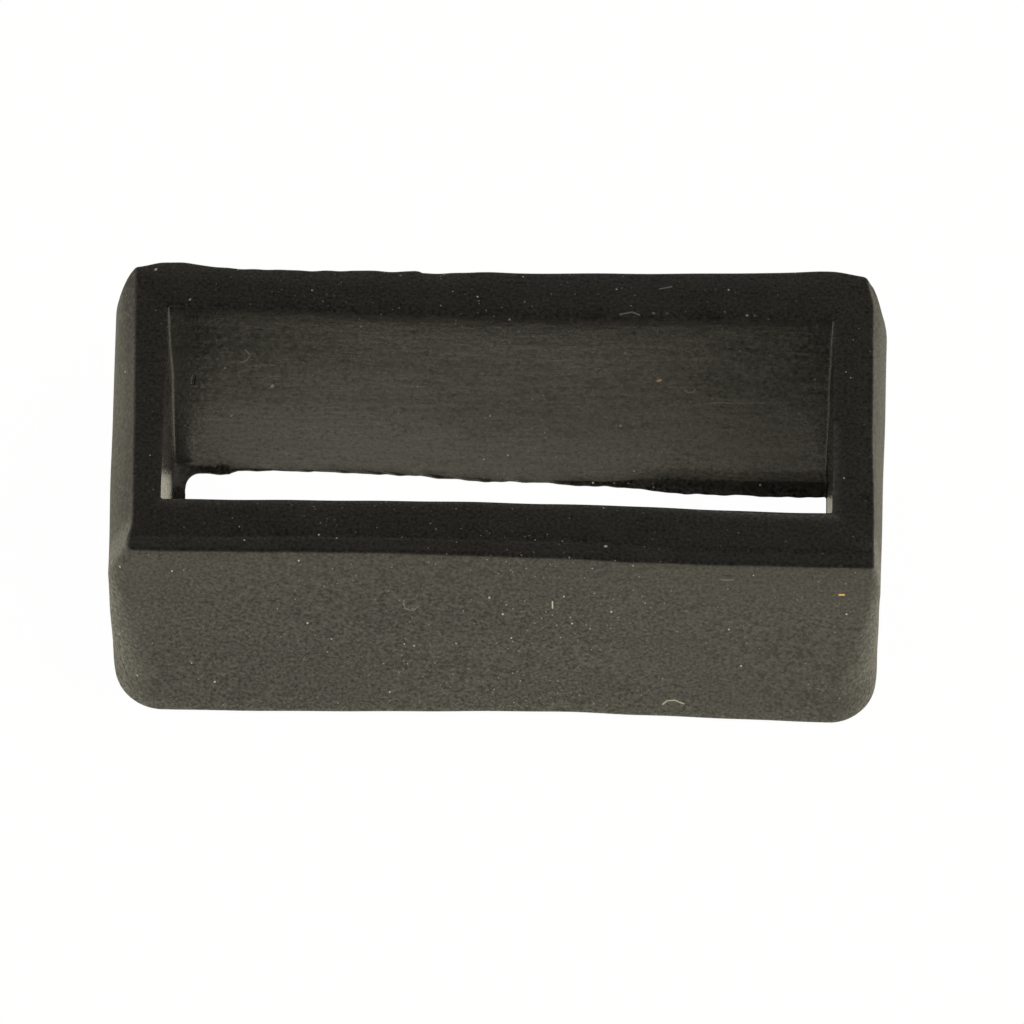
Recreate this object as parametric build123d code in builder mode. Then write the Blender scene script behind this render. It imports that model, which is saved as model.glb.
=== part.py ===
"""Strap keeper loop: a short rectangular sleeve moulded in one piece of black rubber.

A strap's free end goes through the slot along Z. X runs across the strap, and the grained show
face looks towards -Y. The loop stands on its bottom rim, and the origin is the middle of that
rim's outline. All sizes are in millimetres.
"""

import os

from build123d import *

# Driving dimensions
slot_width = 22.0  # across the strap, at the bottom rim
slot_height = 7.6  # room for two layers of strap, at the bottom rim
slot_corner_radius = 0.3
slot_draft = 0.3  # degrees a side, wider at the top rim, so that the core pulls out
loop_depth = 10.0  # length of the sleeve along the strap
front_wall = 2.0  # under the show face
back_wall = 1.7  # on the side that lies against the strap's lower layer
end_wall = 1.75  # short walls, where they are thickest
outer_corner_radius = 1.5  # upright outer edges
end_crown = 0.55  # how far each short wall draws in towards the top rim
crown_depth = 2.5  # how far down from the top rim it does so
bottom_edge_radius = 0.35  # round the outside of the bottom rim
land_width = 0.55  # softened strip along the front of the top rim
land_drop = 0.12  # how far that strip falls towards the show face

# Sizes that follow
outer_width = slot_width + 2 * end_wall
outer_height = front_wall + slot_height + back_wall
half_width = outer_width / 2
rim_half_width = half_width - end_crown
crown_start = loop_depth - crown_depth
front_y = -outer_height / 2
slot_middle_y = front_y + front_wall + slot_height / 2


with BuildPart() as keeper_loop:
    # Block: the rounded plan outline, carried up the whole depth
    with BuildSketch(Plane.XY):
        RectangleRounded(outer_width, outer_height, outer_corner_radius)
    extrude(amount=loop_depth)

    # Bottom rim: its outer edge is rounded all the way round
    bottom_rim = keeper_loop.faces().sort_by(Axis.Z)[0]
    fillet(bottom_rim.edges(), radius=bottom_edge_radius)

    # Crowned ends: each short wall rises upright, then curves in to meet the top rim
    with BuildSketch(Plane.XZ):
        with BuildLine():
            foot = Line((0, 0), (half_width, 0))
            side = Line(foot @ 1, (half_width, crown_start))
            crown = TangentArc(side @ 1, (rim_half_width, loop_depth), tangent=side % 1)
            Line(crown @ 1, (0, loop_depth))
            mirror(about=Plane.YZ)
        make_face()
    extrude(amount=outer_height, both=True, mode=Mode.INTERSECT)

    # Land: a shallow wedge comes off along the front of the top rim
    with BuildSketch(Plane.YZ):
        with BuildLine():
            Polyline(
                (front_y, loop_depth - land_drop),
                (front_y + land_width, loop_depth),
                (front_y, loop_depth),
                close=True,
            )
        make_face()
    extrude(amount=outer_width, both=True, mode=Mode.SUBTRACT)

    # Slot: drafted from the bottom rim to the top one
    with BuildSketch(Plane(origin=(0, slot_middle_y, 0))):
        RectangleRounded(slot_width, slot_height, slot_corner_radius)
    extrude(amount=loop_depth, taper=-slot_draft, mode=Mode.SUBTRACT)

keeper_loop.part.label = "keeper_loop"

os.makedirs("parts", exist_ok=True)
export_step(keeper_loop.part, "parts/keeper_loop.step")

box = keeper_loop.part.bounding_box()
print(f"keeper_loop {box.size.X:.2f} x {box.size.Y:.2f} x {box.size.Z:.2f} mm")
print(f"volume {keeper_loop.part.volume:.0f} mm3")
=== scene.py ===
# %% [markdown]
# # A moulded strap keeper loop
# The real object is one small piece of black rubber: a short sleeve that slides on a strap and
# holds its free end. It came out of a mould in three finishes. The outer walls carry the mould's
# fine grain, the slot is smooth because a polished core made it, and the top rim is flat where the
# mould closed. Thin ragged flash shows where rubber crept between the mould's halves.
# Sizes below are in millimetres, and the mesh builder turns them into metres once.

import math

import bpy
import numpy as np
from mathutils import Matrix, Vector


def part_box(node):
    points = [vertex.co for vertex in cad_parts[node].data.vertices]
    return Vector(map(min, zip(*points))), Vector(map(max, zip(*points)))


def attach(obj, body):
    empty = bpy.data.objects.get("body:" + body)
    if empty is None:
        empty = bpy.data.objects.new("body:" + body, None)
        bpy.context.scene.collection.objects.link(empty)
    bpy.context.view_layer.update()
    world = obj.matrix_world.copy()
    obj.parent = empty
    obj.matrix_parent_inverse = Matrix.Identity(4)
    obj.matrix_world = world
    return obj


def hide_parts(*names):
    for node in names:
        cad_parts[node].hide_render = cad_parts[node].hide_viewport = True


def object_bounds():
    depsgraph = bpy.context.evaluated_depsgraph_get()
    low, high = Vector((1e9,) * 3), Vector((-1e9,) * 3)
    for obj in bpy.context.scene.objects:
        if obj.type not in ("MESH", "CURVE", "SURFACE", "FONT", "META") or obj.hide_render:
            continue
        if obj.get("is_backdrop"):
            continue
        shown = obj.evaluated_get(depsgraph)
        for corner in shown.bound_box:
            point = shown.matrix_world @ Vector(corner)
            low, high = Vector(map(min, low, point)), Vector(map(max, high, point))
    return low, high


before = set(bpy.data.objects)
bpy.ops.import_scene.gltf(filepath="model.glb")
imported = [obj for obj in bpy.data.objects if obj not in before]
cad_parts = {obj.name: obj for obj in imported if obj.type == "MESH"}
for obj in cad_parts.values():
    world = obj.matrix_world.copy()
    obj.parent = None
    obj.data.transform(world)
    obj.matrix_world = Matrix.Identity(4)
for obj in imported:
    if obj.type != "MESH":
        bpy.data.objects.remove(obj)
cad_low, cad_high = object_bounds()
MM = 0.001
HALF_WIDTH, HALF_HEIGHT, DEPTH = np.array(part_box("keeper_loop")[1]) / MM
print(f"CAD box {2 * HALF_WIDTH:.2f} x {2 * HALF_HEIGHT:.2f} x {DEPTH:.2f} mm")

# %% [markdown]
# ## The camera comes first
# A small thing seen from near looks stretched, so a product shot uses a long lens from
# further off. The camera stands in front and well above, turned a degree to the side.

# %% Camera
VIEW_ELEVATION = 57.0  # degrees above the floor
VIEW_YAW = 1.25  # degrees towards +X
VIEW_ROLL = 0.19  # degrees
VIEW_DISTANCE = 0.380  # metres from the loop's middle
MM_ACROSS = 34.10  # width of the view at the loop's middle
AIM_RIGHT, AIM_UP = 0.435, -0.558  # mm from the loop's middle to the view's
SENSOR_WIDTH = 36.0  # mm
NEAREST_SEEN = 0.01  # metres

camera_data = bpy.data.cameras.new("product_camera")
camera_data.sensor_width = SENSOR_WIDTH
camera_data.lens = camera_data.sensor_width * VIEW_DISTANCE / (MM_ACROSS * MM)
camera_data.clip_start = NEAREST_SEEN
camera = bpy.data.objects.new("product_camera", camera_data)
bpy.context.scene.collection.objects.link(camera)
bpy.context.scene.camera = camera

yaw, elevation = math.radians(VIEW_YAW), math.radians(VIEW_ELEVATION)
backwards = Vector((
    math.sin(yaw) * math.cos(elevation),
    -math.cos(yaw) * math.cos(elevation),
    math.sin(elevation),
))
rightwards = Vector((math.cos(yaw), math.sin(yaw), 0.0))
upwards = backwards.cross(rightwards)
middle = Vector((0.0, 0.0, DEPTH * MM / 2))
aim = middle + rightwards * (AIM_RIGHT * MM) + upwards * (AIM_UP * MM)
turned = Matrix((rightwards, upwards, backwards)).transposed()
turned = turned @ Matrix.Rotation(math.radians(VIEW_ROLL), 3, "Z")
camera.matrix_world = Matrix.Translation(aim + backwards * VIEW_DISTANCE) @ turned.to_4x4()
print(f"lens {camera_data.lens:.0f} mm at {VIEW_DISTANCE * 1000:.0f} mm")

# %% [markdown]
# ## One outline formula for every level
# Each level of the loop is a rounded rectangle. A point on it is its corner's centre, scaled by
# the half sizes less the radius, plus the radius along the outward direction. The same columns of
# centres and directions then serve the outer walls, the slot and the rims, so that columns line up.

# %% Columns round the loop
SIDE_LONG, SIDE_SHORT, CORNER = 196, 62, 20  # columns on each straight and each corner


def column_table():
    """Centre signs (cx, cy) and outward directions (nx, ny) round a rounded rectangle.

    On a straight the centre slides from -1 to 1 and the direction is fixed; on a corner the
    centre stays and the direction turns a quarter."""
    cx, cy, nx, ny = [], [], [], []
    corner_signs = ((1, -1), (1, 1), (-1, 1), (-1, -1))
    for quarter, (sign_x, sign_y) in enumerate(corner_signs):
        normal = (quarter - 1) * math.pi / 2
        count = SIDE_LONG if quarter % 2 == 0 else SIDE_SHORT
        slide = np.linspace(-1, 1, count + 1)[:-1]
        one = np.ones(count)
        if quarter % 2 == 0:
            cx.append(slide * sign_x)
            cy.append(one * sign_y)
        else:
            cx.append(one * sign_x)
            cy.append(slide * sign_y)
        nx.append(one * round(math.cos(normal)))
        ny.append(one * round(math.sin(normal)))
        turn = normal + np.linspace(0, math.pi / 2, CORNER + 1)[:-1]
        cx.append(np.full(CORNER, float(sign_x)))
        cy.append(np.full(CORNER, float(sign_y)))
        nx.append(np.cos(turn))
        ny.append(np.sin(turn))
    return [np.concatenate(part) for part in (cx, cy, nx, ny)]


CX, CY, NX, NY = column_table()
TO_RIGHT, TO_BACK = (1 + CX) / 2, (1 + CY) / 2  # 0 to 1 across the loop and from front to back


def outline(half_x, half_y, radius):
    """Points (x, y) = centre sign * (half size - radius) + direction * radius."""
    return CX * (half_x - radius) + NX * radius, CY * (half_y - radius) + NY * radius


print("columns", len(CX))

# %% [markdown]
# ## Small errors of a real moulding
# Rubber shrinks and sags a little as it leaves the mould, so no edge of the real loop is quite
# straight. A few smooth bumps and ramps describe that, and a sum of sine waves in fixed random
# directions adds the last hundredths of a millimetre.

# %% Smooth building blocks
SEED = 7
chance = np.random.default_rng(SEED)


def ease(value, start, end):
    """0 before start, 1 after end, and 3t^2 - 2t^3 between, for t from 0 to 1."""
    t = np.clip((value - start) / (end - start), 0, 1)
    return t * t * (3 - 2 * t)


def fade(value, start, end):
    """The opposite of ease: 1 before start and 0 after end."""
    return 1 - ease(value, start, end)


def bump(value, centre, reach):
    """A bell, exp(-((value - centre) / reach)^2)."""
    return np.exp(-(((value - centre) / reach) ** 2))


def waves(x, y, z, shortest, longest, count=14):
    """A soft random field of about -1 to 1: a sum of sines in random directions and phases.

    Wavelengths lie between shortest and longest, in mm."""
    total = 0
    for _ in range(count):
        direction = chance.normal(size=3)
        direction = direction / np.linalg.norm(direction)
        turns = 2 * math.pi / chance.uniform(shortest, longest)
        phase = chance.uniform(0, 2 * math.pi)
        along = x * direction[0] + y * direction[1] + z * direction[2]
        total = total + np.sin(along * turns + phase)
    return total / (1.5 * math.sqrt(count))


print("ease at a half:", ease(0.5, 0, 1))

# %% [markdown]
# ## The outer wall's rings
# Going once round the wall's section gives the rows of the mesh: up the outer wall, over the top
# rim, down the slot, out along the flash and back under the bottom rim to the start. The grid
# closes both ways, like a tyre, so the skin has no open edge.
# The sides crown: they draw in towards the top rim, where the mould's two halves met. The upright
# corners are round at the foot and nearly sharp at the rim, and each has its own two radii.

# %% Rings of the outer wall
BODY_CORNERS = {"back_left": 0.80, "back_right": 1.05, "front_left": 1.6, "front_right": 1.6}
RIM_CORNERS = {"back_left": 0.10, "back_right": 0.14, "front_left": 0.28, "front_right": 0.12}
SHARPENS_FROM_FRONT, SHARPENS_FROM_BACK = 2.0, 8.7  # the height where the corners start to sharpen
LATE_SHARPENING = 1.15  # the back corners sharpen late, as if the rim were this much further up
FOOT_TAPER, FOOT_TAPER_HEIGHT = 0.05, 1.1
CROWN_DEPTH, CROWN_POWER = 2.6, 1.7
RIGHT_CROWN, RIGHT_CROWN_TO_BACK, RIGHT_CROWN_CORNER = 0.33, 0.20, 0.20
LEFT_CROWN, LEFT_CROWN_TO_BACK, LEFT_CROWN_CORNER = 0.85, 0.14, 0.17
LEFT_POWER_TO_BACK, RIGHT_POWER_TO_BACK = 1.4, 0.2


def crown_inset(side, y, z):
    """How far a side wall draws in at height z: an amount, which varies along y, times t^n."""
    t = np.clip((z - (DEPTH - CROWN_DEPTH)) / CROWN_DEPTH, 0, 1)
    along = (y + HALF_HEIGHT) / (2 * HALF_HEIGHT)
    right = RIGHT_CROWN + RIGHT_CROWN_TO_BACK * along + RIGHT_CROWN_CORNER * ease(y, 4.5, 5.65)
    left = LEFT_CROWN - LEFT_CROWN_TO_BACK * along - LEFT_CROWN_CORNER * fade(y, -5.9, -4.2)
    amount = np.where(side < 0, left, right)
    to_back = np.where(side < 0, LEFT_POWER_TO_BACK, RIGHT_POWER_TO_BACK)
    return amount * t ** (CROWN_POWER + ease(y, 1.5, 5) * to_back)


def corner_mix(radii):
    """Each column's corner radius: the four corners' own radii, mixed by how near they are."""
    behind = radii["back_right"] * TO_RIGHT + radii["back_left"] * (1 - TO_RIGHT)
    before = radii["front_right"] * TO_RIGHT + radii["front_left"] * (1 - TO_RIGHT)
    return behind * TO_BACK + before * (1 - TO_BACK)


BODY_CORNER, RIM_CORNER = corner_mix(BODY_CORNERS), corner_mix(RIM_CORNERS)


def outer_ring(inset, z):
    """The outer outline at height z: its corners sharpen and its sides draw in towards the rim."""
    z = z + 0 * CX
    start = SHARPENS_FROM_FRONT + (SHARPENS_FROM_BACK - SHARPENS_FROM_FRONT) * TO_BACK
    climb = np.clip((z - start) / (DEPTH - start), 0, 1)
    late_climb = ease(climb, 0, LATE_SHARPENING) / ease(1, 0, LATE_SHARPENING)
    sharp = climb * (1 - TO_BACK) + late_climb * TO_BACK
    radius = BODY_CORNER + (RIM_CORNER - BODY_CORNER) * sharp
    inset = inset + FOOT_TAPER * np.clip(1 - z / FOOT_TAPER_HEIGHT, 0, 1) ** 2
    x, y = outline(HALF_WIDTH - inset, HALF_HEIGHT - inset, radius - inset)
    return x - CX * crown_inset(CX, y, z), y, z


print("crown at the rim, left and right:", crown_inset(-1, 0, DEPTH), crown_inset(1, 0, DEPTH))

# %% [markdown]
# ## The slot's rings and its flash
# The slot is straight and its back wall flares a hair at the mouth. Flash is the thin fin at the
# slot's foot. Its width is a sum of ramps along the wall, plus random waves that make it ragged. At
# the right it is wide and hollow, so that the wall's foot lies in shade there.

# %% Rings of the slot and the flash
SLOT_HALF_WIDTH, SLOT_HALF_HEIGHT = 11.0, 3.8
SLOT_MIDDLE = 0.15  # how far the slot's middle lies behind the loop's
SLOT_CORNER = 0.10
MOUTH_FLARE, MOUTH_DEPTH = 0.03, 0.6
FLASH_CORNER, FLASH_CORNER_BACK_LEFT = 0.10, 0.38  # at the flash's edge, and more at the back left


def slot_ring(outset, z):
    """The slot's outline, moved outwards by outset. Its back wall flares at the mouth, as t^2."""
    x, y = outline(SLOT_HALF_WIDTH + outset, SLOT_HALF_HEIGHT + outset, SLOT_CORNER + outset)
    flare = MOUTH_FLARE * np.clip(1 - (DEPTH - z) / MOUTH_DEPTH, 0, 1) ** 2
    y = y + flare * np.clip(CY, 0, 1)
    return x, y + SLOT_MIDDLE, z + 0 * x


SLOT_X, SLOT_Y = outline(SLOT_HALF_WIDTH, SLOT_HALF_HEIGHT, SLOT_CORNER)
RAGGED = 0.035 * waves(SLOT_X, SLOT_Y, 0, 1.2, 4) + 0.032 * waves(SLOT_X, SLOT_Y, 0, 0.4, 1.2)
FLASH_BACK = 0.03 + 0.03 * ease(SLOT_X, -4.5, 1.5) + 0.235 * ease(SLOT_X, 1.8, 6.2)
FLASH_BACK = FLASH_BACK + 0.14 * ease(SLOT_X, 3.3, 5.6)
FLASH_BACK = FLASH_BACK + 0.07 * bump(SLOT_X, 9.2, 1.5) + RAGGED
FLASH_BACK = FLASH_BACK + 0.14 * fade(SLOT_X, -9.90, -9.65)
FLASH_FRONT = 0.22 + 0.10 * bump(SLOT_X, 3, 5) + 0.06 * ease(SLOT_X, 2, 4) + RAGGED
FLASH_LEFT = 0.40 + RAGGED
FLASH_RIGHT = 0.03 + 0.3 * RAGGED
SLOPING = ease(SLOT_X, -9.7, -9.3) * (NY > 0.5)  # all of the back wall but its left end
HOLLOW = ease(SLOT_X, 3.2, 5.6) * (NY > 0.5)  # the right part of the back wall
FLASH_ROOT = 0.10 + 0.05 * SLOPING + 0.25 * HOLLOW  # height where the flash leaves the wall
FLASH_TIP = 0.08 - 0.03 * SLOPING  # height of its edge
FLASH_POWER = 1.3 - 0.3 * SLOPING + 0.9 * HOLLOW


def flash_ring(share, z):
    """The flash at the slot's foot, at a share of its width out from the wall.

    Each wall has its own width; a corner takes the widths of the two walls it joins."""
    edge_corner = FLASH_CORNER + FLASH_CORNER_BACK_LEFT * (CX < 0) * (CY > 0)
    corner = SLOT_CORNER * (1 - share) + edge_corner * share
    x = TO_RIGHT * (SLOT_HALF_WIDTH - corner - share * FLASH_RIGHT)
    x = x - (1 - TO_RIGHT) * (SLOT_HALF_WIDTH - corner - share * FLASH_LEFT) + NX * corner
    y = TO_BACK * (SLOT_HALF_HEIGHT - corner - share * FLASH_BACK)
    y = y - (1 - TO_BACK) * (SLOT_HALF_HEIGHT - corner - share * FLASH_FRONT) + NY * corner
    return x, y + SLOT_MIDDLE, z + 0 * x


print(f"flash along the back wall {FLASH_BACK.min():.2f} to {FLASH_BACK.max():.2f} mm wide")

# %% [markdown]
# ## The rows, from the bottom edge round to the bottom rim
# Each row is one ring. Quarter circles round the edges, and rows crowd together where the land
# and the edges need them. Every row also notes its finish, for the material.

# %% Stack the rings
GRAINED, RIM, SMOOTH = 0, 1, 2  # the outer wall, the top rim, and the slot with its flash
BOTTOM_ROUND, TOP_ROUND, INNER_ROUND = 0.35, 0.07, 0.025
LAND_SHARE = 0.42  # the front part of the rim, where rows crowd
SLOT_CROWDING = 1.25
FLASH_LIP = 0.03
rows, finish_rows = [], []


def add_row(ring, finish):
    """Keep a ring (x, y, z) and its finish."""
    rows.append(np.stack(ring))
    finish_rows.append(np.full(len(CX), float(finish)))


def steps(start, end, count):
    """Count equal steps from start to end, without start, which the row before already has."""
    return np.linspace(start, end, count + 1)[1:]


for angle in np.linspace(0, math.pi / 2, 8):
    inset = BOTTOM_ROUND * (1 - math.sin(angle))
    add_row(outer_ring(inset, BOTTOM_ROUND * (1 - math.cos(angle))), GRAINED)
for z in steps(BOTTOM_ROUND, DEPTH - TOP_ROUND, 51):
    add_row(outer_ring(0, z), GRAINED)
for angle in steps(0, math.pi / 2, 5):
    inset = TOP_ROUND * (1 - math.cos(angle))
    add_row(outer_ring(inset, DEPTH - TOP_ROUND * (1 - math.sin(angle))), RIM)
rim_outside = rows[-1]
rim_inside = np.stack(slot_ring(INNER_ROUND, DEPTH))
for share in np.concatenate([steps(0, LAND_SHARE, 15), steps(LAND_SHARE, 1, 7)]):
    add_row(rim_outside * (1 - share) + rim_inside * share, RIM)
for angle in steps(0, math.pi / 2, 5):
    outset = INNER_ROUND * (1 - math.sin(angle))
    mouth = slot_ring(outset, DEPTH - INNER_ROUND * (1 - math.cos(angle)))
    add_row(mouth, RIM if angle < 1 else SMOOTH)
for share in steps(0, 1, 33) ** SLOT_CROWDING:
    add_row(slot_ring(0, (DEPTH - INNER_ROUND) * (1 - share) + FLASH_ROOT * share), SMOOTH)
for share in steps(0, 1, 8):
    height = FLASH_TIP + (FLASH_ROOT - FLASH_TIP) * (1 - share) ** FLASH_POWER
    add_row(flash_ring(share, height), SMOOTH)
for angle in steps(0, math.pi, 3)[:-1]:
    height = FLASH_TIP * (1 + math.cos(angle)) / 2
    add_row(flash_ring(1 + FLASH_LIP * math.sin(angle), height), SMOOTH)
for share in np.linspace(1, 0, 4):
    add_row(flash_ring(share, 0), SMOOTH)
bottom_outside = rows[0]
bottom_inside = rows[-1]
for share in steps(0, 1, 8)[:-1]:
    add_row(bottom_inside * (1 - share) + bottom_outside * share, SMOOTH)
X, Y, Z = np.stack(rows, axis=1)
FINISH = np.stack(finish_rows)
print("rows", len(rows), "triangles", 2 * X.size)

# %% [markdown]
# ## The land and the rolled edges
# The front of the top rim is a low rolled land, where the mould's edge was relieved. A faint
# crease runs along its back and fades out to the right. Every edge of the rim also rolls down by a
# few hundredths. All of it is one drop, worked out here and taken off the heights later.

# %% Land and rolled edges
LAND_WIDTH, LAND_STEP, LAND_FALL, LAND_TILT = 0.56, 0.018, 0.02, 0.022
LAND_EDGE = 0.12  # width of the fall along the land's front
CREASE_PLACE = LAND_WIDTH + 0.05
CREASE_RUNOUT = 0.55  # how far behind the land the fall fades out
EDGE_FALL, EDGE_REACH, OUTER_REACH = 0.045, 0.45, 0.80

front_side = fade(Y, -3.9, -3.2)
back_side = ease(Y, 3.2, 3.9)
near_top = ease(Z, 5, DEPTH)
top_edge = ease(Z, DEPTH - 0.6, DEPTH - 0.1)
from_front = Y + HALF_HEIGHT

land = LAND_FALL * np.clip(1 - from_front / LAND_EDGE, 0, 1) ** 2
line_depth = LAND_STEP * (1.0 + 0.5 * waves(X, 0 * Y, 0 * Z, 1.5, 6))
line_depth = line_depth * (1 - 2.3 * ease(X, 2.5, 7.5))
rise = np.clip((LAND_WIDTH + CREASE_RUNOUT - from_front) / CREASE_RUNOUT, 0, 1) ** 2
crease_width = 0.11 + 0.12 * fade(X, -10, -7)
groove = line_depth * rise * ease(from_front, CREASE_PLACE - crease_width, CREASE_PLACE)
groove = groove + LAND_TILT * rise * np.clip(from_front / LAND_WIDTH, 0, 1)
drop = (land * ease(Z, 8, DEPTH) + groove * (FINISH == RIM)) * front_side

half_inside = np.maximum(np.abs(X) - SLOT_HALF_WIDTH, np.abs(Y - SLOT_MIDDLE) - SLOT_HALF_HEIGHT)
half_outside = np.minimum(HALF_WIDTH - 0.6 - np.abs(X), HALF_HEIGHT - np.abs(Y))
worn_mouth = 1 + 2.5 * ease(X, 5, 10) * (Y < 0)
inner_roll = worn_mouth * np.clip(1 - half_inside / EDGE_REACH, 0, 1) ** 2
outer_roll = 1.4 * np.clip(1 - half_outside / OUTER_REACH, 0, 1) ** 2 * (from_front > 0.8)
drop = drop + EDGE_FALL * (inner_roll + outer_roll) * top_edge * (Z > 9)
print(f"deepest drop {drop.max():.3f} mm")

# %% [markdown]
# ## Push the walls out of true
# Masks pick the front, the back and the top of the loop, and each error is an amount in mm times
# its mask. A wall's two faces move apart or together: a share of 0 is its face in the slot and a
# share of 1 its outer face. Bows bend a wall, leans tip it, and the rest is uneven thickness.

# %% Bows, leans and thickness
LIP_BOW, INNER_BOW, BACK_BOW, FOOT_BOW = 0.07, 0.20, 0.17, 0.22
FRONT_REACH, BACK_REACH, END_REACH = 2.0, 1.6, 1.2  # the wall over which a share goes from 0 to 1
WANDER_X, WANDER_Y, WANDER_Z, FRAY = 0.025, 0.02, 0.012, 0.03

share_out = np.clip((-Y - SLOT_HALF_HEIGHT + SLOT_MIDDLE) / FRONT_REACH, 0, 1)
lip_bow = LIP_BOW * bump(X, -4, 4) - 0.01 - 0.06 * ease(X, 3, 8)
front_bow = share_out * (lip_bow - 0.07 * ease(X, 2, 5))
front_bow = front_bow + (1 - share_out) * (INNER_BOW * bump(X, -1.5, 6) + 0.08 * ease(X, 1, 4))
foot_bow = FOOT_BOW * bump(X, 2.5, 6) - 0.10 + 0.04 * ease(X, 4, 7)
foot_bow = foot_bow * fade(Z, 0, 7) * share_out
push_front = front_side * (front_bow * (0.4 + 0.6 * near_top) + foot_bow)

share_back = np.clip((Y - SLOT_HALF_HEIGHT - SLOT_MIDDLE) / BACK_REACH, 0, 1)
slot_face = 1 - share_back
thick_back = -0.17 + 0.08 * ease(X, -6, -2) + 0.36 * np.clip((X + 1) / 12, 0, 1)
thick_back = thick_back + 0.07 * (bump(X, -4.7, 0.8) + bump(X, -0.7, 0.9))
thick_back = thick_back + 0.062 * bump(X, 10.6, 0.8)
corner_hump = 0.20 * fade(X, -10.6, -9) + 0.08 * fade(X, -2.85, -2.7)
worn_corner = -0.20 * ease(X, 10.9, 12.4) - 0.22 * fade(X, -12.15, -11.1)
push_back = share_back * (thick_back + (corner_hump + worn_corner) * top_edge)
push_back = push_back - slot_face * BACK_BOW * bump(X, 0, 7) * near_top
push_back = push_back + 0.10 * slot_face * fade(X, -5, 0) * fade(Z, 0, 5)
push_back = push_back - 0.11 * slot_face * ease(X, 2, 7) * fade(Z, 0, 7)
middle_lean = ease(X, -4.5, 1.5) * fade(X, 3.3, 5.6)
push_back = push_back - 0.14 * slot_face * middle_lean * fade(Z, 0, 6)
push_back = push_back * back_side

outer_lean = np.where(X < 0, -0.08, 0.0) + np.where(X < 0, -0.015, 0.011) * Y
inner_lean = -0.011 * (Y + 3.6) * (X < -9)
share_end = np.clip((np.abs(X) - SLOT_HALF_WIDTH) / END_REACH, 0, 1)
push_end = outer_lean * share_end + inner_lean * (1 - share_end)
X = X + push_end + WANDER_X * waves(X, Y, Z, 3, 9)
Y = Y + push_front + push_back + WANDER_Y * waves(X, Y, Z, 2, 7)
Z = Z - drop + WANDER_Z * waves(X, Y, 0 * Z, 2, 6) * near_top
frayed = FRAY * waves(X, 0 * Y, 0 * Z, 0.4, 1.5) * fade(X, -4, 0)
Y = Y + frayed * share_back * top_edge * back_side
print(f"box now {np.ptp(X):.2f} x {np.ptp(Y):.2f} x {np.ptp(Z):.2f} mm")

# %% [markdown]
# ## Close the grid into one skin
# Faces join each row to the next and each column to the next, and the last ones wrap to the
# first. The finish goes onto the points as an attribute, which the material reads.

# %% Make the mesh
row_count, column_count = X.shape
row, column = np.meshgrid(np.arange(row_count), np.arange(column_count), indexing="ij")
next_row, next_column = (row + 1) % row_count, (column + 1) % column_count
corners = (
    row * column_count + column,
    row * column_count + next_column,
    next_row * column_count + next_column,
    next_row * column_count + column,
)
quads = np.stack(corners, axis=-1).reshape(-1, 4)
points = np.stack([X, Y, Z], axis=-1).reshape(-1, 3) * MM

mesh = bpy.data.meshes.new("keeper_loop_skin")
mesh.vertices.add(len(points))
mesh.vertices.foreach_set("co", points.ravel())
mesh.loops.add(quads.size)
mesh.loops.foreach_set("vertex_index", quads.ravel())
mesh.polygons.add(len(quads))
mesh.polygons.foreach_set("loop_start", np.arange(0, quads.size, 4))
mesh.polygons.foreach_set("use_smooth", np.ones(len(quads), dtype=bool))
mesh.update(calc_edges=True)
mesh.validate()
finish = mesh.attributes.new("finish", "FLOAT", "POINT")
finish.data.foreach_set("value", FINISH.ravel())
loop = bpy.data.objects.new("keeper_loop_skin", mesh)
bpy.context.scene.collection.objects.link(loop)
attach(loop, "root")
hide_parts("keeper_loop")
print("points", len(mesh.vertices), "faces", len(mesh.polygons))

# %% [markdown]
# ## Writing shader maths as ordinary sums
# A small wrapper round a socket lets the material be written with + - * and named helpers.

# %% Shader helper
class Value:
    """A socket that can be added, multiplied and passed to other nodes."""

    tree = None

    def __init__(self, socket):
        self.socket = socket

    @classmethod
    def node(cls, kind, output=0, settings=None, **inputs):
        """Make any node: its type, which output to take, its settings and its input values.

        An input is called by its name, with _ for a space, or by its number, as in i0 and i1."""
        node = cls.tree.nodes.new(kind)
        for name, value in (settings or {}).items():
            setattr(node, name, value)
        for name, value in inputs.items():
            key = int(name[1:]) if name[0] == "i" and name[1:].isdigit() else name.replace("_", " ")
            target = node.inputs[key]
            if isinstance(value, Value):
                cls.tree.links.new(value.socket, target)
            else:
                target.default_value = value
        return cls(node.outputs[output])

    def maths(self, operation, *others):
        """A Math node on this value and others."""
        inputs = {f"i{n}": other for n, other in enumerate((self, *others))}
        return Value.node("ShaderNodeMath", settings={"operation": operation}, **inputs)

    def __add__(self, other):
        return self.maths("ADD", other)

    def __radd__(self, other):
        return self.maths("ADD", other)

    def __mul__(self, other):
        return self.maths("MULTIPLY", other)

    def __rmul__(self, other):
        return self.maths("MULTIPLY", other)

    def __sub__(self, other):
        return self.maths("SUBTRACT", other)

    def __rsub__(self, other):
        return (self * -1.0) + other

    def between(self, start, end):
        """0 below start and 1 above end, smooth between."""
        settings = {"interpolation_type": "SMOOTHSTEP"}
        return Value.node(
            "ShaderNodeMapRange", settings=settings, Value=self, From_Min=start, From_Max=end
        )


print("shader helper ready")

# %% [markdown]
# ## Where each finish lies
# One rubber covers the whole loop, so masks say where its finish changes. The finish attribute
# tells the outer wall, the rim and the slot apart, and the place in mm picks parts of each.

# %% Masks
rubber = bpy.data.materials.new("moulded_rubber")
rubber.use_nodes = True
Value.tree = rubber.node_tree
place = Value.node("ShaderNodeTexCoord", output="Object")
mark = Value.node("ShaderNodeAttribute", output="Fac", settings={"attribute_name": "finish"})


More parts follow.
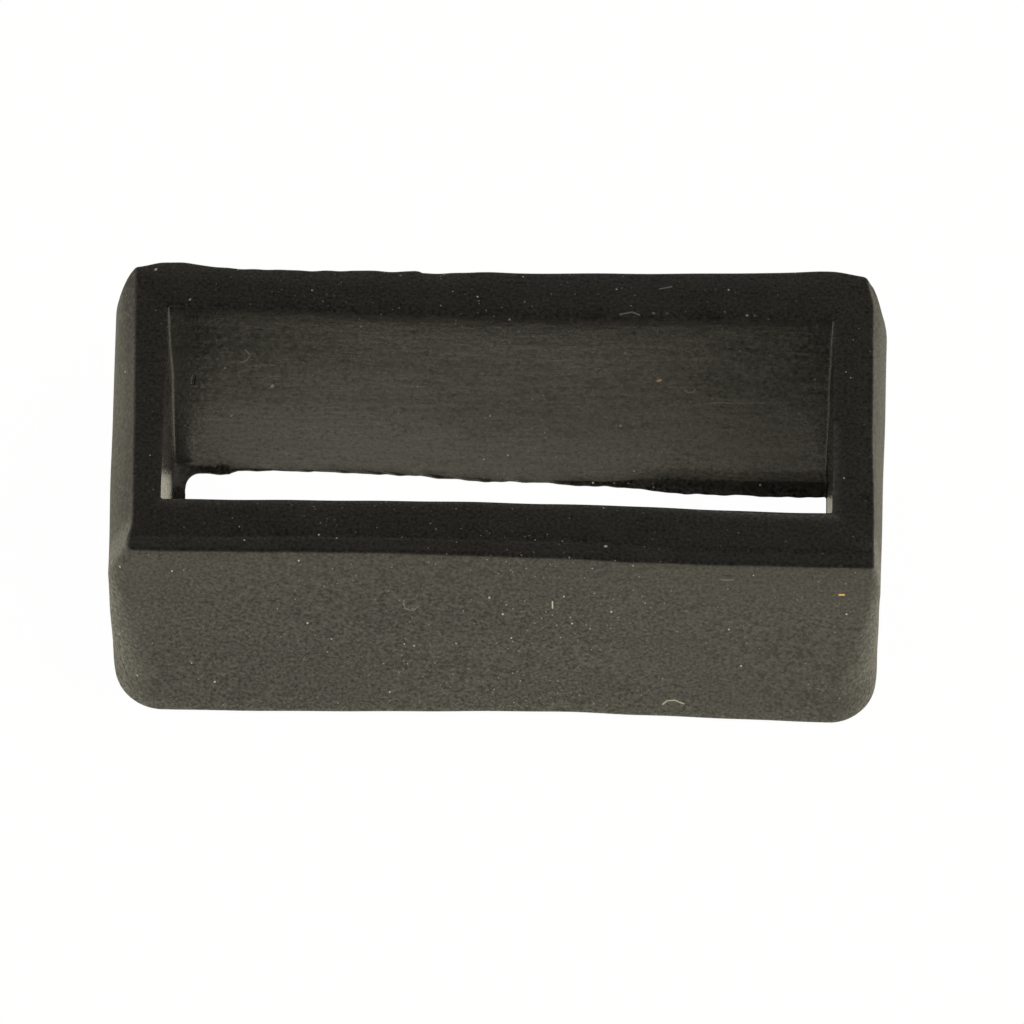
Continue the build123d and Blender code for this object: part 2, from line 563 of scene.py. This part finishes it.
def vector(operation, output, **inputs):
    """Vector maths, and which output to take: 0 for a vector and 1 for a number."""
    settings = {"operation": operation}
    return Value.node("ShaderNodeVectorMath", output=output, settings=settings, **inputs)


def scaled(x, y, z):
    """The place in mm, stretched by a factor along each axis."""
    return vector("MULTIPLY", 0, i0=place, i1=(x / MM, y / MM, z / MM))


place_mm = scaled(1.0, 1.0, 1.0)
across_mm = Value.node("ShaderNodeSeparateXYZ", output=0, Vector=place_mm)
depth_mm = Value.node("ShaderNodeSeparateXYZ", output=1, Vector=place_mm)
height_mm = Value.node("ShaderNodeSeparateXYZ", output=2, Vector=place_mm)
from_middle = across_mm.maths("ABSOLUTE")

past_wall = mark.between(0.4, 0.6)
on_wall = 1.0 - past_wall
in_slot = mark.between(1.4, 1.6)
on_rim = past_wall * (1.0 - in_slot)
on_side = from_middle.between(11.7, 11.9) * depth_mm.between(-4.7, -4.0)
on_corner = on_wall * from_middle.between(10.9, 11.6) * (1.0 - on_side)
left_front = on_corner * (1.0 - across_mm.between(-1.0, 1.0))
show_face = on_wall * (1.0 - depth_mm.between(-5.2, -4.8))
far_wall = in_slot * depth_mm.between(3.0, 3.4)
slot_end = in_slot * from_middle.between(10.86, 10.94)
under_rim = height_mm.between(9.3, 9.9)
print("mask nodes", len(rubber.node_tree.nodes))

# %% [markdown]
# ## Grain
# The mould's blasted surface prints a fine grain, a little taller than wide on the outer walls. Two
# sizes of noise make it, and it calms down towards the rim and the right. The slot's smoother core
# left a fainter grain and streaks that run sideways. Blotches bend every surface very slightly.

# %% Noises and relief
GRAIN_HEIGHT, COARSE_HEIGHT = 0.033, 0.017  # mm
SLOT_GRAIN_HEIGHT, STREAK_HEIGHT = 0.010, 0.010
RIM_GRAIN_HEIGHT, BLOTCH_HEIGHT = 0.012, 0.02
CALM_NEAR_RIM, CALM_AT_RIGHT = 0.35, 0.20


def noise(point, detail=2.0, roughness=0.5):
    """Blender's noise at one bump per unit, from 0 to 1."""
    return Value.node(
        "ShaderNodeTexNoise",
        Vector=point,
        Scale=1.0,
        Detail=detail,
        Roughness=roughness,
    )


grain = noise(scaled(9.5, 9.5, 5.6), detail=2.0, roughness=0.55)
coarse = noise(scaled(4.5, 4.5, 2.8), detail=1.0, roughness=0.5)
slot_grain = noise(scaled(10.0, 10.0, 4.5), detail=2.0, roughness=0.55)
streaks = noise(scaled(0.9, 0.9, 5.0), detail=3.0, roughness=0.6)
speckle = noise(scaled(9.0, 9.0, 6.2), detail=2.0, roughness=0.55)
slot_speckle = noise(scaled(6.0, 6.0, 5.5), detail=3.0, roughness=0.6)
blotches = noise(scaled(0.8, 0.8, 1.3), detail=2.0)

calm = CALM_NEAR_RIM * height_mm.between(7.0, 9.0) + CALM_AT_RIGHT * across_mm.between(2.0, 7.0)
relief = (grain * GRAIN_HEIGHT + coarse * COARSE_HEIGHT) * on_wall
relief = relief * (1.0 - 0.7 * on_side - 0.5 * on_corner) * (1.0 - calm)
relief = relief + (slot_grain * SLOT_GRAIN_HEIGHT + streaks * STREAK_HEIGHT) * in_slot
relief = relief + speckle * on_rim * RIM_GRAIN_HEIGHT + blotches * BLOTCH_HEIGHT
print("noise nodes and masks", len(rubber.node_tree.nodes))

# %% [markdown]
# ## Strokes: the shape of a fibre
# A fibre or a knock sits at a chosen place, so it is drawn as the distance to a short line. Points
# on a wall are (x, z) and points on the rim are (x, y). A line through several points makes a
# bent fibre, and a very short line makes a round speck.

# %% Fibres through points
# A fibre stands proud of the rubber, so it looks as thick from above as from the front.
UPRIGHT, LEVEL = (1.0, 0.0, 0.6), (1.0, 0.85, 0.0)
upright, level = scaled(*UPRIGHT), scaled(*LEVEL)


def stroke(surface, start, end, radius):
    """1 on a line from start to end on a surface and 0 beyond radius mm from it.

    The nearest point is start + (end - start) * share, with share the dot product of the way
    from start with (end - start), over its squared length, kept from 0 to 1."""
    along = tuple(b - a for a, b in zip(start, end))
    square = max(sum(part * part for part in along), 1e-6)
    way = vector("SUBTRACT", 0, i0=surface, i1=start)
    share = vector("DOT_PRODUCT", 1, i0=way, i1=along) * (1 / square)
    share = share.maths("MAXIMUM", 0.0).maths("MINIMUM", 1.0)
    nearest = vector("SCALE", 0, i0=along, i3=share)
    gap = vector("DISTANCE", 1, i0=way, i1=nearest)
    return 1.0 - gap.between(0.45 * radius, radius)


def path(surface, squash, places, radius):
    """A fibre through several points of a surface, as the greatest of its strokes."""
    flat = [tuple(part * ratio for part, ratio in zip(point, squash)) for point in places]
    strokes = [stroke(surface, a, b, radius) for a, b in zip(flat, flat[1:])]
    total = strokes[0]
    for other in strokes[1:]:
        total = total.maths("MAXIMUM", other)
    return total


def on_face(places, radius):
    """A fibre on an upright wall, through places (x, z)."""
    return path(upright, UPRIGHT, [(x, 0.0, z) for x, z in places], radius)


def on_top_rim(places, radius):
    """A fibre on the top rim, through places (x, y)."""
    return path(level, LEVEL, [(x, y, 0.0) for x, y in places], radius)


def fibres(draw, table):
    """The sum of a table's fibres. Each is its strength, its radius in mm and its places."""
    marks = [draw(places, radius) * strength for strength, radius, *places in table]
    return sum(marks[1:], marks[0])


print("fibre helpers ready")

# %% [markdown]
# ## Lint and knocks
# A few fibres and specks cling to each surface, most of them faint. Two knocks left burrs near the
# top of the show face, and a pit marks the far wall. Both walls hold a crumb of orange grit.

# %% Lint and knocks
show_lint = fibres(on_face, (
    (1.0, 0.032, (1.9, 7.35), (1.9, 6.95)),
    (0.8, 0.034, (5.6, 1.05), (5.75, 1.3), (6.0, 1.35), (6.3, 1.15)),
    (0.2, 0.032, (-3.0, 6.95), (-2.95, 6.65), (-2.7, 6.55), (-2.5, 6.8)),
    (0.15, 0.03, (10.7, 2.45), (10.95, 2.3)),
    (0.12, 0.04, (7.4, 9.1), (7.8, 9.1)),
))
far_lint = fibres(on_face, (
    (0.25, 0.032, (-8.55, 7.5), (-8.4, 7.2), (-8.5, 6.9), (-8.75, 6.7)),
    (0.2, 0.03, (6.12, 5.6), (6.25, 5.5), (6.4, 5.55), (6.45, 5.7)),
    (0.12, 0.035, (7.0, 4.95), (8.8, 5.0)),
    (0.6, 0.07, (-7.7, 5.3), (-7.68, 5.35)),
    (0.45, 0.05, (-9.1, 3.4), (-9.08, 3.45)),
    (0.8, 0.05, (5.27, 6.2), (5.3, 6.2)),
))
scuffs = fibres(on_face, (
    (1.0, 0.06, (-7.5, 2.25), (-7.0, 2.35), (-6.6, 2.1)),
    (1.0, 0.06, (-7.4, 1.2), (-6.8, 0.95)),
    (0.7, 0.05, (-4.0, 4.0), (-3.3, 4.3), (-2.2, 4.4)),
))
rim_lint = fibres(on_top_rim, (
    (0.10, 0.03, (5.2, 5.05), (5.6, 5.15)),
    (0.09, 0.035, (3.9, 4.0), (4.3, 4.1), (4.55, 4.0)),
    (0.4, 0.05, (3.6, -5.15), (3.63, -5.15)),
    (0.09, 0.045, (5.0, 4.08), (5.03, 4.08)),
    (0.06, 0.045, (5.45, 4.08), (5.48, 4.08)),
    (0.18, 0.045, (8.1, 4.08), (8.13, 4.08)),
    (0.06, 0.045, (8.35, 4.08), (8.38, 4.08)),
    (0.4, 0.05, (-11.55, 5.4), (-11.53, 5.42)),
))
burr = on_face([(7.5, 9.2), (7.7, 9.2)], 0.12) + on_face([(1.9, 9.0), (2.05, 9.0)], 0.16)
pit = on_face([(-10.3, 5.8), (-10.35, 5.4)], 0.08)
grit = on_face([(11.3, 8.35), (11.45, 8.35)], 0.045) * show_face
grit = grit + on_face([(5.2, 6.15), (5.25, 6.15)], 0.05) * far_wall * 0.6

BURR_HEIGHT, PIT_DEPTH = 0.03, 0.05  # mm
relief = relief + burr * show_face * BURR_HEIGHT - pit * far_wall * PIT_DEPTH
print("lint ready")

# %% [markdown]
# ## Dust, and painted light in the slot's corner
# Black rubber is a little tacky, so it always carries dust. A Voronoi pattern puts one point in
# each cell of space, and the skin cuts small balls round those points into specks of all sizes.
# Dust gathers in clumps, and less of it holds on the rim and in the slot. The slot's left corner
# gets patchy painted light in the dust's pale colour, standing in for light that the bright left
# end wall reflects onto it, and the top of the far wall is made a little paler.

# %% Dust and painted corner light
def specks(per_mm, radius):
    """1 within radius mm of a random point, where space holds about per_mm^3 points a cubic mm."""
    cells = Value.node(
        "ShaderNodeTexVoronoi", Vector=scaled(per_mm, per_mm, 0.6 * per_mm), Scale=1.0
    )
    return 1.0 - cells.between(0.6 * radius * per_mm, 1.2 * radius * per_mm)


SCUFF_PALENESS = 0.05
# painted light in the slot's left corner, in patches, and a faint paler band at the top of the far
# wall
CORNER_PAINTED_LIGHT, CORNER_PAINTED_LIGHT_PATCHES, FAR_WALL_TOP_PALING = 0.06, 0.16, 0.018

clumps = noise(scaled(0.45, 0.45, 0.40), detail=1.0).between(0.36, 0.56)
middle_part = 1.0 - from_middle.between(3.0, 9.0) * 0.6
dust_and_corner_light = specks(1.4, 0.038) + specks(2.4, 0.028) * (0.25 + clumps * middle_part * 0.45)
dust_and_corner_light = dust_and_corner_light + specks(4.0, 0.024) * clumps * middle_part * 0.55
dust_and_corner_light = dust_and_corner_light * (1.0 - 0.7 * on_rim - 0.55 * in_slot)
dust_and_corner_light = dust_and_corner_light + show_lint * show_face + (far_lint + scuffs * SCUFF_PALENESS) * far_wall
dust_and_corner_light = dust_and_corner_light + rim_lint * on_rim

left_corner = 1.0 - across_mm.between(-11.1, -10.1)
# painted light: the far wall's left corner is paled, for light reflected from the bright left end
# wall
corner_light_and_top_band = CORNER_PAINTED_LIGHT + (slot_speckle - 0.5) * CORNER_PAINTED_LIGHT_PATCHES
corner_light_and_top_band = left_corner * far_wall * corner_light_and_top_band * (1.0 - under_rim)
corner_light_and_top_band = corner_light_and_top_band + under_rim * FAR_WALL_TOP_PALING * far_wall * (1.0 - height_mm.between(9.93, 9.97))
dust_and_corner_light = (dust_and_corner_light + corner_light_and_top_band).maths("MINIMUM", 1.0)
print("dust ready")

# %% [markdown]
# ## The rubber's colour and sheen
# Rubber is filled with carbon black, so it gives back about one part in eighty of the light that
# enters it, and most of what the eye sees is sheen. The grain shows mostly as patches of duller
# and shinier rubber, so the same speckle moves both the colour and the roughness. The top rim's
# colour is darkened as painted shade on the up-facing rim. The far wall's right foot, behind the
# wide flash, gets painted shade and is duller. Dust is pale and dull, and its pale colour also
# paints light into the slot's left corner.

# %% Rubber colour and roughness
dark = (0.0006, 0.0005, 0.0003, 1.0)
light = (0.0300, 0.0281, 0.0218, 1.0)
pale_dust_and_corner_light = (0.50, 0.48, 0.42, 1.0)
orange_grit = (0.75, 0.40, 0.08, 1.0)
BASE_SHADE, BASE_ROUGHNESS = 0.38, 0.43
RIM_PAINTED_SHADE, FOOT_PAINTED_SHADE = 0.10, 0.03
SMOOTHER_SLOT, SMOOTHER_SLOT_END, SMOOTHER_LEFT_FRONT = 0.11, 0.09, 0.05
DULLER_SIDES, DULLER_FOOT, DULLER_WALL_ENDS, DULLER_DUST = 0.09, 0.15, 0.07, 0.5
SLOT_PATCHES, SLOT_STREAKS = 0.85, 0.42
RUBBER_IOR = 1.5


def mix(factor, first, second):
    """A colour between first and second, or past neither."""
    settings = {"data_type": "RGBA", "clamp_factor": True}
    return Value.node(
        "ShaderNodeMix", output=2, settings=settings, Factor=factor, i6=first, i7=second
    )


# painted shade at the far wall's right foot, behind the wide flash, where the undercut lies in
# shade; the same mask also makes it duller
painted_shade_foot = far_wall * across_mm.between(3.6, 5.6) * (1.0 - height_mm.between(0.35, 1.25))
wall_ends = far_wall * from_middle.between(3.5, 9.0)
wall_ends = wall_ends * height_mm.between(3.5, 6.0) * (1.0 - height_mm.between(8.3, 9.2))
side_wall = on_wall * on_side

# painted shade: the up-facing top rim's colour is darkened
shade = BASE_SHADE - RIM_PAINTED_SHADE * on_rim - FOOT_PAINTED_SHADE * painted_shade_foot + (blotches - 0.5) * 0.2
shade = shade + (speckle - 0.5) * (3.0 - 1.8 * on_rim - 1.2 * in_slot)
colour = mix(dust_and_corner_light, mix(shade, dark, light), pale_dust_and_corner_light)
colour = mix(grit, colour, orange_grit)

contrast = 0.90 - 0.30 * on_rim - in_slot * (0.50 + 0.30 * under_rim) - 0.45 * side_wall
slot_contrast = (in_slot - slot_end) * (1.0 - 0.85 * under_rim)
rough = BASE_ROUGHNESS - SMOOTHER_SLOT * in_slot + DULLER_SIDES * side_wall + DULLER_FOOT * painted_shade_foot
rough = rough - SMOOTHER_SLOT_END * slot_end + DULLER_WALL_ENDS * wall_ends
rough = rough - SMOOTHER_LEFT_FRONT * left_front
rough = rough - (speckle - 0.5) * contrast * (1.0 - calm * on_wall)
slot_sheen = (slot_speckle - 0.5) * SLOT_PATCHES + (streaks - 0.5) * SLOT_STREAKS
rough = rough - slot_sheen * slot_contrast
rough = rough + (blotches - 0.5) * 0.06 + dust_and_corner_light * DULLER_DUST

bumped = Value.node("ShaderNodeBump", Height=relief, Distance=MM, Strength=1.0)
shader = rubber.node_tree.nodes["Principled BSDF"]
links = rubber.node_tree.links
links.new(colour.socket, shader.inputs["Base Color"])
links.new(rough.socket, shader.inputs["Roughness"])
links.new(bumped.socket, shader.inputs["Normal"])
shader.inputs["IOR"].default_value = RUBBER_IOR
mesh.materials.append(rubber)
print("rubber nodes", len(rubber.node_tree.nodes))

# %% [markdown]
# ## Floor
# The floor is a white sheet that looks lit from within to the camera and to sheen, so the whole
# ground stays white while the loop's own light stays soft. It keeps a faint shadow of its own.

# %% Floor
REACH = 1.5  # metres from the middle to each edge
FLOOR_GAP = 0.00002  # metres below the loop
SEEN_GLOW, SHINE_GLOW = 0.985, 0.288

floor_corners = [(-REACH, -REACH, 0), (REACH, -REACH, 0), (REACH, REACH, 0), (-REACH, REACH, 0)]
floor_mesh = bpy.data.meshes.new("floor_sheet")
floor_mesh.from_pydata(floor_corners, [], [(0, 1, 2, 3)])
floor = bpy.data.objects.new("floor_sheet", floor_mesh)
bpy.context.scene.collection.objects.link(floor)
floor.location.z = -FLOOR_GAP
floor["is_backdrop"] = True

paper = bpy.data.materials.new("white_paper")
paper.use_nodes = True
Value.tree = paper.node_tree
paper_shader = paper.node_tree.nodes["Principled BSDF"]
paper_shader.inputs["Base Color"].default_value = (0.92, 0.87, 0.69, 1.0)
paper_shader.inputs["Roughness"].default_value = 0.9
seen = Value.node("ShaderNodeLightPath", output="Is Camera Ray")
shine = Value.node("ShaderNodeLightPath", output="Is Glossy Ray")
glow_colour = Value.node(
    "ShaderNodeMix",
    output=2,
    settings={"data_type": "RGBA"},
    Factor=seen,
    i6=(1.0, 0.95, 0.75, 1.0),
    i7=(1.0, 1.0, 1.0, 1.0),
)
glow = Value.node("ShaderNodeEmission", Color=glow_colour, Strength=1.0)
share = seen * SEEN_GLOW + shine * SHINE_GLOW
plain_paper = Value(paper_shader.outputs[0])
mixed = Value.node("ShaderNodeMixShader", i0=share, i1=plain_paper, i2=glow)
output = paper.node_tree.nodes["Material Output"]
paper.node_tree.links.new(mixed.socket, output.inputs["Surface"])
floor_mesh.materials.append(paper)
print("floor ready")

# %% [markdown]
# ## World and lamps
# Sheen needs something wide and soft to reflect, so the world is a sweep: bright near the horizon
# and most of all behind the loop, a little less to the right, and nearly dark overhead. Two soft
# lamps, from the right and from above, light the rubber itself. Sheen doesn't show the lamps.

# %% World and lamps
SWEEP_GLOW, CEILING_GLOW = 0.90, 0.02
LAMP_SIDE = 0.45  # metres
RIGHT_LAMP, RIGHT_WATTS = (0.34, -0.20, 0.63), 4.6
TOP_LAMP, TOP_WATTS = (-0.16, -0.22, 0.73), 2.9

world = bpy.data.worlds.new("studio")
world.use_nodes = True
bpy.context.scene.world = world
backdrop = world.node_tree.nodes["Background"]
backdrop.inputs["Color"].default_value = (1.0, 0.97, 0.88, 1.0)
Value.tree = world.node_tree
compass = Value.node("ShaderNodeTexCoord", output="Generated")
overhead = Value.node("ShaderNodeSeparateXYZ", output=2, Vector=compass).between(0.0, 0.95)
behind = Value.node("ShaderNodeSeparateXYZ", output=1, Vector=compass).between(-0.7, 0.3)
rightward = Value.node("ShaderNodeSeparateXYZ", output=0, Vector=compass).between(0.0, 1.0)
sweep = (1.0 - overhead) * (0.30 + 0.70 * behind) * (1.0 - 0.25 * rightward)
sky_level = CEILING_GLOW + sweep * (SWEEP_GLOW - CEILING_GLOW)
world.node_tree.links.new(sky_level.socket, backdrop.inputs["Strength"])


def softbox(name, place_at, watts):
    """A square soft lamp that faces the loop, which stands at the origin."""
    data = bpy.data.lights.new(name, "AREA")
    data.shape = "RECTANGLE"
    data.size = LAMP_SIDE
    data.size_y = LAMP_SIDE
    data.energy = watts
    lamp = bpy.data.objects.new(name, data)
    bpy.context.scene.collection.objects.link(lamp)
    lamp.location = place_at
    lamp.rotation_euler = (-Vector(place_at)).to_track_quat("-Z", "Y").to_euler()
    lamp.visible_glossy = False


softbox("right_softbox", RIGHT_LAMP, RIGHT_WATTS)
softbox("top_softbox", TOP_LAMP, TOP_WATTS)
bpy.context.scene.view_settings.view_transform = "Standard"
print("lamps ready")

# %% [markdown]
# ## Print both boxes
# The visual loop has to stay inside the CAD box, apart from about three hundredths of each side.

# %% Sizes and finish
seen_low, seen_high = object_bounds()
for axis in range(3):
    cad_side = (cad_high[axis] - cad_low[axis]) / MM
    seen_side = (seen_high[axis] - seen_low[axis]) / MM
    print(f"side {'xyz'[axis]}: CAD {cad_side:.2f} mm, visual {seen_side:.2f} mm")
